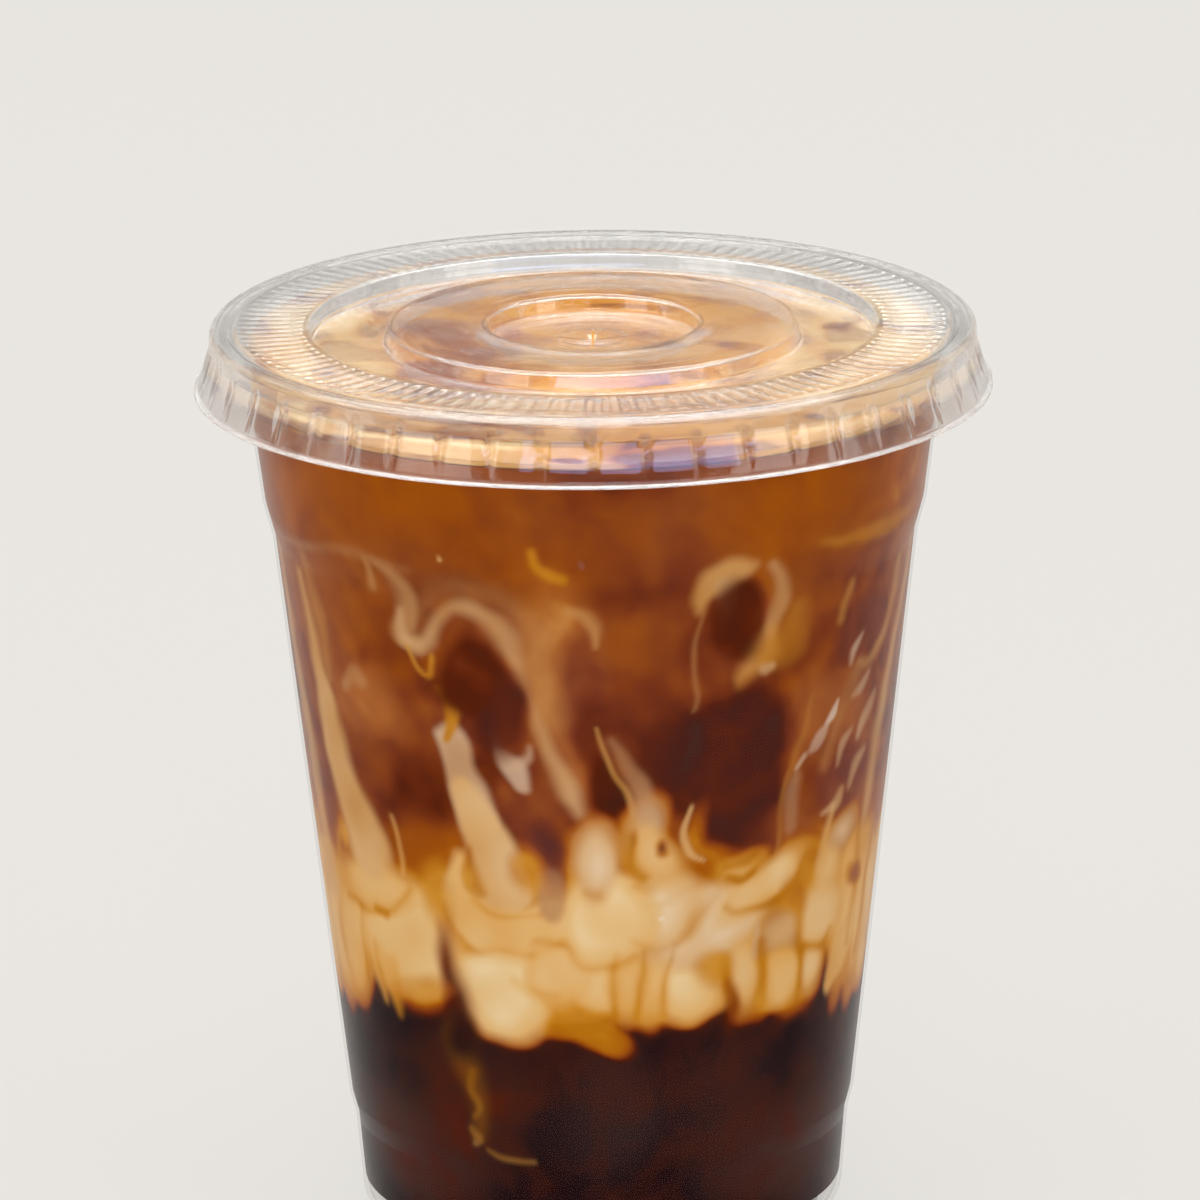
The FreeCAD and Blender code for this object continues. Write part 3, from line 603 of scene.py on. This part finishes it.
def addBackForms():
    # the back carries the front's forms turned round and shifted, painted highlights and shade among them
    def turned(angle, height):
        wave = math.radians(angle)
        return 180 - angle - 4 * math.sin(3 * wave), height + 1.3 * math.cos(2 * wave + 1)

    for forms in (pools, beds, lobes, veils):
        forms += [(*turned(*form[:2]), *form[2:4], -form[4], *form[5:])
                  for form in forms if abs(form[0]) < 64]
    for paths in (strandsAndHighlights, shadeCreases):
        paths += [(*path[:-1], [(*turned(*point[:2]), point[2]) for point in path[-1]])
                  for path in paths if abs(path[-1][0][0]) < 64]

    # between them lie others, at places drawn from a fixed seed
    rng = np.random.default_rng(11)
    draw = rng.uniform
    for side in (84, 240):
        for height, step in ((50.5, 8.5), (46.0, 7.5), (40.5, 7.0), (37.0, 9.0)):
            for angle in np.arange(side + draw(0, 4), side + 34, step):
                lobes.append((angle + draw(-2, 2), height + draw(-2, 2), draw(2.6, 6.0), draw(2.6, 5.4),
                              draw(-30, 30), draw(0.42, 0.78), max(0, draw(-0.4, 0.4))))
        for angle in np.arange(side + 6, side + 34, 8.0):
            start, bend, width = draw(64, 96), draw(-4, 4), draw(0.4, 1.6)
            last = draw(54, 62)
            points = [(angle + bend * math.sin(3 * t) + 3 * t, start + (last - start) * t,
                       0.1 + width * t * (1.6 - t)) for t in np.linspace(0, 1, 7)]
            tone = draw(0.1, 0.4)
            strandsAndHighlights.append((tone, tone + 0.2, draw(0, 0.6), draw(0.4, 0.8), draw(0.6, 1.6), points))
            pools.append((angle, draw(64, 104), draw(4, 8), draw(4, 8), draw(-25, 25), draw(1.2, 3.5),
                          draw(0.5, 0.9), draw(0.25, 0.7), draw(0, 0.4)))


def waves(points, size, seed, count=16):
    # a smooth random field with about unit spread; points are x, y, z in millimetres
    rng = np.random.default_rng(seed)
    total = np.zeros(points.shape[:-1])
    for k in range(count):
        direction = rng.normal(size=3)
        direction *= 2 * math.pi / size / np.linalg.norm(direction) * rng.uniform(0.7, 1.3)
        total += np.cos(points @ direction + rng.uniform(0, 2 * math.pi))
    return total * math.sqrt(2 / count)


def smooth(low, high, value):
    t = np.clip((value - low) / (high - low), 0, 1)
    return t * t * (3 - 2 * t)


def along(angle, centre):
    # length along the wall from one angle to another
    return ((angle - centre + 180) % 360 - 180) * math.pi / 180 * drink["mean"]


def ovalDistance(a, h, form):
    # about the distance outside a leaning oval, negative inside, with the height within it from -1 to 1
    angle, height, halfWidth, halfHeight, lean = form[:5]
    x, y = along(a, angle), h - height
    c, s = math.cos(math.radians(lean)), math.sin(math.radians(lean))
    u, v = (x * c + y * s) / halfWidth, (y * c - x * s) / halfHeight
    q = (np.abs(u) ** 2.1 + np.abs(v) ** 2.1) ** (1 / 2.1)
    return (q - 1) * min(halfWidth, halfHeight), v


def nearOval(a, h, form):
    # the points that a soft oval can reach
    reach = max(form[2], form[3]) * 1.6 + 4
    return np.flatnonzero((np.abs(along(a, form[0])) < reach) & (np.abs(h - form[1]) < reach))


def smoothPath(path, parts=4):
    # a smooth curve through the points, each an angle, a height and a half width
    points = np.array(path, dtype=float)
    if len(points) < 3:
        return points
    padded = np.vstack((2 * points[0] - points[1], points, 2 * points[-1] - points[-2]))
    smoothed = []
    for p0, p1, p2, p3 in zip(padded[:-3], padded[1:-2], padded[2:-1], padded[3:]):
        for t in np.arange(parts) / parts:
            smoothed.append(p1 + 0.5 * t * (p2 - p0) + t * t * (p0 - 2.5 * p1 + 2 * p2 - 0.5 * p3)
                            + t ** 3 * (1.5 * (p1 - p2) + 0.5 * (p3 - p0)))
    return np.vstack((smoothed, points[-1]))


def nearPath(a, h, points):
    reach = points[:, 2].max() * 2 + 3
    middle = points[:, 0].mean()
    span = np.abs(along(points[:, 0], middle)).max() + reach
    low, high = points[:, 1].min() - reach, points[:, 1].max() + reach
    return np.flatnonzero((np.abs(along(a, middle)) < span) & (h > low) & (h < high))


def pathDistance(a, h, points):
    # about the distance outside a strand, with the share of the way along it
    best = np.full_like(h, 99.0)
    place = np.zeros_like(h)
    for index, ((a0, h0, w0), (a1, h1, w1)) in enumerate(zip(points[:-1], points[1:])):
        px, py = along(a, a0), h - h0
        dx, dy = float(along(a1, a0)), h1 - h0
        t = np.clip((px * dx + py * dy) / (dx * dx + dy * dy + 1e-9), 0, 1)
        distance = np.hypot(px - t * dx, py - t * dy) - (w0 + (w1 - w0) * t)
        nearer = distance < best
        best = np.where(nearer, distance, best)
        place = np.where(nearer, (index + t) / (len(points) - 1), place)
    return best, place


def drinkFields(angle, z):
    # angle in degrees and z in millimetres, as arrays; gives the fields that colour the drink
    shape = z.shape
    angle, z = angle.ravel(), z.ravel()
    r = 30.5 + 0.112 * z
    rad = np.radians(angle)
    points = np.stack((r * np.sin(rad), -r * np.cos(rad), z), axis=-1)
    a = angle + np.degrees((0.40 * waves(points, 15, 1) + 0.11 * waves(points, 4.5, 3)) / drink["mean"])
    h = z + 0.40 * waves(points, 15, 2) + 0.11 * waves(points, 4.5, 4)

    heights, tones = zip(*coffeeByHeight)
    coffee = np.interp(h + 0.8 * waves(points, 24, 7), heights, tones)
    upper = smooth(34, 62, h)
    mottling = 0.06 * waves(points, 18, 5) + 0.05 * waves(points, 6, 6) + 0.022 * waves(points, 2.4, 13)
    coffee += upper * mottling + 0.012 * waves(points, 8, 8)
    rosy = np.clip(0.10 + 0.14 * waves(points, 20, 9), 0, 1) * smooth(58, 66, h)
    milk, tone, grey = np.zeros_like(h), np.full_like(h, 0.3), np.zeros_like(h)

    def oval(form):
        at = nearOval(a, h, form)
        return at, *ovalDistance(a[at], h[at], form)

    def ribbon(path):
        path = smoothPath(path)
        at = nearPath(a, h, path)
        return at, *pathDistance(a[at], h[at], path)

    def pour(pool, clearing):
        soft, strength, newTone, pink = pool[5:]
        at, distance, _ = oval(pool)
        cover = strength * (1 - smooth(-soft, soft, distance))
        coffee[at] += (newTone - coffee[at]) * cover
        rosy[at] += (pink - rosy[at]) * cover
        milk[at] *= 1 - clearing * cover

    def lay(at, cover, newTone, newGrey):
        share = cover / np.maximum(1e-4, cover + milk[at] * (1 - cover))
        tone[at] += (newTone - tone[at]) * share
        grey[at] += (newGrey - grey[at]) * share
        milk[at] += (1 - milk[at]) * cover

    for pool in pools:
        pour(pool, 0)
    for lobe in lobes:
        at, distance, _ = oval(lobe)
        glow = 0.85 * (1 - smooth(0.2, 1.6, distance))
        coffee[at] += np.maximum(0, 0.92 - coffee[at]) * glow
        rosy[at] *= 1 - glow
    for bed in beds:
        at, distance, _ = oval(bed)
        lay(at, bed[6] * (1 - smooth(-bed[5], bed[5], distance)), bed[7], 0.0)
    for lobe in lobes:
        at, distance, up = oval(lobe)
        # painted shade: each billow's tone falls towards its edge, where it turns away, which also stands
        # for the thicker coffee in front of it; its upper half is painted a little lighter, as if lit from
        # above
        edgeShade = 0.29 * smooth(-3.2, 0.6, distance)
        lay(at, 1 - smooth(-1.2, 1.1, distance), lobe[5] + 0.10 - edgeShade + 0.04 * np.clip(up, -1, 1), lobe[6])
    # strands of milk, and the painted highlights laid the same way
    for first, last, greyness, strength, soft, path in strandsAndHighlights:
        at, distance, place = ribbon(path)
        lay(at, strength * (1 - smooth(-soft, soft, distance)), first + (last - first) * place, greyness)
    # painted shade in the creases between billows, and the milk thinned there so that the coffee shows
    for creaseShade, clearing, soft, path in shadeCreases:
        at, distance, _ = ribbon(path)
        cover = 1 - smooth(-1.3 * soft, 1.3 * soft, distance)
        tone[at] -= 0.50 * creaseShade * cover
        milk[at] *= 1 - clearing * cover
    for veil in veils:
        pour(veil, 1)
    tone += 0.05 * waves(points, 7, 10) + 0.02
    fields = {"coffee": coffee, "rosy": rosy, "milk": milk, "tone": tone, "grey": np.clip(grey, 0, 1)}
    return {key: values.reshape(shape) for key, values in fields.items()}


def innerRadius(z):
    # the inside of the cup's wall at a height
    profile = roundedPath([(r - cup["wall"], h, f) for r, h, f in cup["outside"][3:]], 1.0)
    profile = profile[np.argsort(profile[:, 1])]
    return np.interp(z, profile[:, 1], profile[:, 0])


def fromHex(code):
    def linear(v):
        return v / 12.92 if v <= 0.04045 else ((v + 0.055) / 1.055) ** 2.4
    return tuple(linear(int(code[i:i + 2], 16) / 255) for i in (0, 2, 4)) + (1,)


# colours of the drink along its fields
drinkColours = {
    "coffee": [(0.0, "1f0d0f"), (0.16, "3f1a0f"), (0.30, "561c05"), (0.45, "78320e"), (0.60, "8c4208"),
               (0.75, "9e5004"), (0.90, "b87214"), (1.0, "ca8a28")],
    "rosy": [(0.0, "7a5c50"), (0.20, "4c2828"), (0.45, "7a3c2a"), (0.60, "965632"), (0.75, "ac6a3a"),
             (1.0, "c48a58")],
    "milk": [(0.0, "b47008"), (0.2, "c88624"), (0.4, "d69e50"), (0.6, "dcac68"), (0.8, "e0b97c"),
             (1.0, "e9cf9e")],
    "grey": [(0.0, "785448"), (0.3, "a57d62"), (0.5, "bb9472"), (0.75, "d0b49c"), (1.0, "decabe")],
}


def drinkMaterial(name):
    material, tree = newMaterial(name)
    place = addNode(tree, "TexCoord").outputs["Object"]
    grain = noiseNode(tree, place, 380.0, 4.0)
    mottle = noiseNode(tree, place, 120.0, 5.0, 0.6)

    def field(key):
        node = addNode(tree, "Attribute")
        node.attribute_name = key
        return node.outputs["Fac"]

    def uneven(value, noise, amount):
        return mathNode(tree, "ADD", rangeNode(tree, noise, 0.0, 1.0, -amount / 2, amount / 2), value)

    def ramp(value, key):
        return rampNode(tree, value, [(position, fromHex(code)) for position, code in drinkColours[key]])

    coffeeTone = uneven(uneven(field("coffee"), mottle, 0.42), grain, 0.10)
    coffee = mixColours(tree, field("rosy"), ramp(coffeeTone, "coffee"), ramp(coffeeTone, "rosy"))
    milkTone = uneven(field("tone"), mottle, 0.10)
    milk = mixColours(tree, field("grey"), ramp(milkTone, "milk"), ramp(milkTone, "grey"))
    setInputs(tree, tree.nodes["Principled BSDF"], {
        "Base Color": mixColours(tree, field("milk"), coffee, milk),
        "Roughness": 0.6, "Specular IOR Level": 0.0})
    return material


def drinkAngles():
    front = np.linspace(-drink["frontAngle"], drink["frontAngle"], drink["frontColumns"], endpoint=False)
    back = np.linspace(drink["frontAngle"], 360 - drink["frontAngle"], drink["backColumns"], endpoint=False)
    return np.concatenate((front, back))[None, :]


def layerTop(name):
    # a layer's top: the height at an angle and a share of the way from the axis to the wall
    mean = drink[name + "Edge"]
    wall = float(innerRadius(mean)) / drink["waveReach"]

    def height(angle, share=1.0):
        distance = wall * share
        turn = angle - 90 + drink["swirl"] * distance
        return mean + sum(size * distance ** 2 * np.cos(np.radians(count * turn + start))
                          for size, count, start in drink[name + "Waves"])
    return height


def drinkPiece(name, low, high, rows, node):
    # one layer as a closed drum: its side carries the fields, its ends close on the axis
    angle = drinkAngles()
    z = low(angle) + (high(angle) - low(angle)) * np.linspace(0, 1, rows)[:, None]
    angle = angle + 0 * z
    fields = drinkFields(angle, z)
    r = innerRadius(z) + drink["sink"]
    rad = np.radians(angle)
    side = np.stack((r * np.sin(rad), -r * np.cos(rad), z), axis=-1)
    shares = np.array((0.98, 0.9, 0.7, 0.4, 0.15))[:, None]

    def end(ring, height):
        return np.stack((ring[:, 0] * shares, ring[:, 1] * shares, height(angle[:1], shares)), axis=-1)

    whole = np.concatenate((end(side[0], low)[::-1], side, end(side[-1], high)))
    count = len(shares)
    values = {key: np.concatenate((np.repeat(field[:1], count, 0), field, np.repeat(field[-1:], count, 0)))
              for key, field in fields.items()}
    piece = meshFromRings(name, whole, False, values)
    finishPiece(piece, drinkMaterial(name + " look"), node)
    return piece


drinkTop = {
    "rings": 80, "columns": 320,
    "thickness": 0.6, "climb": 0.5,          # it climbs a little where it meets the wall
    "amberPlace": 22, "amberReach": (20, 34),  # the gold zone: how far back it lies and where it fades
    # painted highlights of the meniscus near the wall, laid into the milk field: first and last angle,
    # distance from the wall, drift
    "meniscusHighlights": [(-78, -10, 3.0, 6.0), (36, 64, 5.0, 1.0)],
}


def makeDrinkTop():
    # the surface of the drink: clouds of coffee, gold and cream, with a painted highlight of the meniscus
    # in two arcs where it meets the wall
    edge = float(innerRadius(np.array(level))) + drink["sink"]
    radius = edge * np.sqrt(np.linspace(0.0004, 1, drinkTop["rings"]))[::-1, None]
    angle = np.linspace(0, 360, drinkTop["columns"], endpoint=False)[None, :]
    rad = np.radians(angle)
    climb = drinkTop["climb"] * np.exp(-(edge - radius) / 0.7)
    verts = np.stack((radius * np.sin(rad), -radius * np.cos(rad), level + climb + 0 * angle), axis=-1)
    points = verts * (1, 1, 0)
    warped = points + 3.0 * np.stack([waves(points, 20, seed) for seed in (31, 32, 33)], axis=-1)
    cloud, swirl = waves(warped, 30, 34), waves(warped, 13, 35)
    # amber in the middle and browner towards the front, creamy round it
    lean = points[..., 1] / 40 + points[..., 0] / 70
    middle = np.hypot(points[..., 0], points[..., 1] - drinkTop["amberPlace"])
    middle = 1 - smooth(*drinkTop["amberReach"], middle)
    milk = 0.9 * smooth(-0.6, 0.7, 0.7 * cloud + 0.35 * swirl + 0.6 * lean + 0.75 - 2.5 * middle)
    milk *= 1 - 0.35 * smooth(0, 14, -points[..., 1]) - 0.5 * middle
    coffee = 0.90 + 0.1 * middle - 0.45 * smooth(0.3, 1.0, -swirl - 0.5 * cloud - 0.4 * lean)
    milk *= smooth(0.50, 0.75, coffee)
    around = (angle + 180) % 360 - 180
    # painted highlight of the meniscus: pale arcs near the wall, put into the milk field
    for first, last, inward, drift in drinkTop["meniscusHighlights"]:
        share = np.clip((around - first) / (last - first), 0, 1)
        away = np.abs(radius - edge + inward + drift * share + 0.8 * swirl)
        ends = smooth(first - 4, first + 6, around) * (1 - smooth(last - 6, last + 4, around))
        milk = np.maximum(milk, (1 - smooth(0.8, 2.6, away)) * ends)
    none = 0 * coffee
    values = {"coffee": coffee, "rosy": none, "milk": milk, "tone": 0.25 + 0.70 * milk, "grey": none}
    # it closes just under itself, so that it is a thin solid
    under = verts[::-1] - (0, 0, drinkTop["thickness"])
    whole = np.concatenate((verts, under))[::-1]
    values = {key: np.concatenate((field, field[::-1]))[::-1] for key, field in values.items()}
    piece = meshFromRings("drinkSurface", whole, True, values)
    material = drinkMaterial("drink surface look")
    tree = material.node_tree
    setInputs(tree, tree.nodes["Principled BSDF"], {"Roughness": 0.12, "Specular IOR Level": 0.3})
    finishPiece(piece, material, "coffee_amber")


ice = {"cubes": 8, "size": 17.0, "bevel": 0.16, "away": 29.0}


def makeIce():
    # cubes that float with their tops just out of the drink, well inside the wall
    rng = np.random.default_rng(5)
    bm = bmesh.new()
    for index in range(ice["cubes"]):
        angle = 2 * math.pi * index / (ice["cubes"] - 1) + rng.uniform(-0.2, 0.2)
        away = ice["away"] + rng.uniform(-2, 2) if index else 3.0
        turn = Euler((rng.uniform(-0.35, 0.35), rng.uniform(-0.35, 0.35), rng.uniform(0, 3)))
        size = ice["size"] * rng.uniform(0.85, 1.1) * mm
        cube = bmesh.ops.create_cube(bm, size=size, matrix=turn.to_matrix().to_4x4())["verts"]
        edges = list({edge for vert in cube for edge in vert.link_edges})
        bevelled = bmesh.ops.bevel(bm, geom=edges, offset=size * ice["bevel"], segments=4, profile=0.6,
                                   affect="EDGES")
        verts = {vert for face in bevelled["faces"] for vert in face.verts}
        verts = list(verts | {vert for vert in cube if vert.is_valid})
        rise = (level + rng.uniform(1.6, 3.6)) * mm - max(vert.co.z for vert in verts)
        place = (away * math.sin(angle) * mm, -away * math.cos(angle) * mm, rise)
        bmesh.ops.translate(bm, verts=verts, vec=place)
    mesh = bpy.data.meshes.new("ice")
    bm.to_mesh(mesh)
    bm.free()
    mesh.polygons.foreach_set("use_smooth", np.ones(len(mesh.polygons), dtype=bool))
    piece = bpy.data.objects.new("ice", mesh)
    scene.collection.objects.link(piece)
    clearIce = clearPlastic("clear ice", (1.0, 0.93, 0.80, 1), 0.03, 0.2)
    finishPiece(piece, clearIce, "coffee_amber")


def makeDrink():
    addBackForms()
    darkTop, milkTop = layerTop("dark"), layerTop("milk")

    def flatTop(height):
        return lambda angle, share=1.0: height + 0 * (angle * share)

    drinkPiece("darkCoffee", flatTop(drink["foot"]), darkTop, 76, "coffee_dark")
    drinkPiece("milkBillows", darkTop, milkTop, 90, "milk_layer")
    underSurface = flatTop(level - drink["skin"])
    drinkPiece("amberCoffee", milkTop, underSurface, 124, "coffee_amber")
    makeDrinkTop()
    makeIce()


stage = {
    "floorSize": 8.0,
    "glowShare": 0.8,        # how even the pale table looks; the rest keeps the object's shadow
    "roomStrength": 0.88,
}


def makeFloor():
    half = stage["floorSize"] / 2
    corners = [(-half, -half, 0), (half, -half, 0), (half, half, 0), (-half, half, 0)]
    mesh = bpy.data.meshes.new("floor")
    mesh.from_pydata(corners, [], [(0, 1, 2, 3)])
    floor = bpy.data.objects.new("floor", mesh)
    scene.collection.objects.link(floor)
    material, tree = newMaterial("pale table")
    table = tree.nodes["Principled BSDF"]
    setInputs(tree, table, {"Base Color": (0.42, 0.41, 0.40, 1), "Roughness": 0.7,
                            "Specular IOR Level": 0.1})
    # seen directly, mirrored or through glass it is an even pale surface that keeps a soft shadow
    paths = addNode(tree, "LightPath").outputs
    seen = mathNode(tree, "MAXIMUM", paths["Is Camera Ray"], paths["Is Glossy Ray"])
    seen = mathNode(tree, "MAXIMUM", seen, paths["Is Transmission Ray"])
    glow = addNode(tree, "Emission", {"Color": (0.845, 0.823, 0.784, 1)})
    toSurface(tree, mixShaders(tree, mathNode(tree, "MULTIPLY", seen, stage["glowShare"]), table, glow))
    mesh.materials.append(material)


def makeRoom():
    # even light overhead, warm bright and dim places towards the horizon
    world = bpy.data.worlds.new("room")
    scene.world = world
    world.use_nodes = True
    tree = world.node_tree
    place = addNode(tree, "TexCoord").outputs["Generated"]
    split = addNode(tree, "SeparateXYZ", {"Vector": place}).outputs
    dim, bright = (0.45, (0.55, 0.50, 0.43, 1)), (0.62, (1.1, 1.07, 1.0, 1))
    around = rampNode(tree, noiseNode(tree, place, 9.0, 2.0), [dim, bright])
    height = rangeNode(tree, split["Z"], 0.35, 0.65, 0.0, 1.0)
    sky = mixColours(tree, height, around, (0.86, 0.86, 0.86, 1))
    # the near end of the room is dimmer, and so is a narrow strip at the far end
    near = rangeNode(tree, split["Y"], -0.9, -0.55, 0.12, 1.0)
    far = rangeNode(tree, split["Y"], 0.7, 0.9, 0.3, 0.0)
    away = mathNode(tree, "ADD", mathNode(tree, "ABSOLUTE", split["X"]), far)
    strip = rangeNode(tree, away, 0.07, 0.20, 0.22, 1.0)
    shaded = addNode(tree, "VectorMath")
    shaded.operation = "SCALE"
    setInputs(tree, shaded, {0: sky, "Scale": mathNode(tree, "MULTIPLY", near, strip)})
    setInputs(tree, tree.nodes["Background"], {"Color": shaded.outputs["Vector"],
                                               "Strength": stage["roomStrength"]})


# each lamp: place, width, height, power, colour; all point at the middle of the cup
lamps = {
    "window": ((0.32, -1.75, 0.66), 2.2, 0.19, 9.0, (0.42, 0.56, 1.0)),
    "front": ((0.0, -1.5, 1.35), 0.55, 0.55, 10.0, (1.0, 0.96, 0.88)),
    "softLeft": ((-1.5, -1.3, 0.7), 0.9, 0.9, 9.0, (1.0, 0.96, 0.9)),
    "softRight": ((1.6, -1.2, 0.7), 0.8, 0.8, 7.5, (1.0, 0.95, 0.88)),
    "overhead": ((-0.1, 0.2, 1.6), 2.2, 2.2, 32.0, (1.0, 0.97, 0.92)),
    "back": ((0.05, 1.4, 0.9), 0.2, 0.12, 0.35, (1.0, 0.96, 0.88)),
}


def makeLamps():
    for name, (place, width, height, power, colour) in lamps.items():
        data = bpy.data.lights.new(name, "AREA")
        data.shape = "RECTANGLE"
        data.size, data.size_y = width, height
        data.energy = power
        data.color = colour
        lamp = bpy.data.objects.new(name, data)
        scene.collection.objects.link(lamp)
        lamp.location = place
        aim = Vector((0, 0, 0.07)) - Vector(place)
        lamp.rotation_euler = aim.to_track_quat("-Z", "Y").to_euler()


camera = {
    # where the viewer stands, about a point on the axis
    "distance": 1.2, "elevation": 17.3, "pivot": 0.060,
    "tilt": 16.27, "aside": 0.00053, "roll": -0.66, "lens": 273.6, "sensor": 36.0,
}


def makeCamera():
    data = bpy.data.cameras.new("camera")
    data.lens = camera["lens"]
    data.sensor_width = camera["sensor"]
    data.clip_start, data.clip_end = 0.05, 30
    viewer = bpy.data.objects.new("camera", data)
    scene.collection.objects.link(viewer)
    rise = math.radians(camera["elevation"])
    viewer.location = (camera["aside"], -camera["distance"] * math.cos(rise),
                       camera["pivot"] + camera["distance"] * math.sin(rise))
    turn = Matrix.Rotation(math.radians(90 - camera["tilt"]), 4, "X")
    roll = Matrix.Rotation(math.radians(camera["roll"]), 4, "Z")
    viewer.rotation_euler = (turn @ roll).to_euler()
    scene.camera = viewer


makeFloor()
makeRoom()
makeCamera()
makeLamps()
print("stage, camera and lamps set")
makeCup()
makeLid()
makeDrink()

scene.view_settings.view_transform = "Standard"
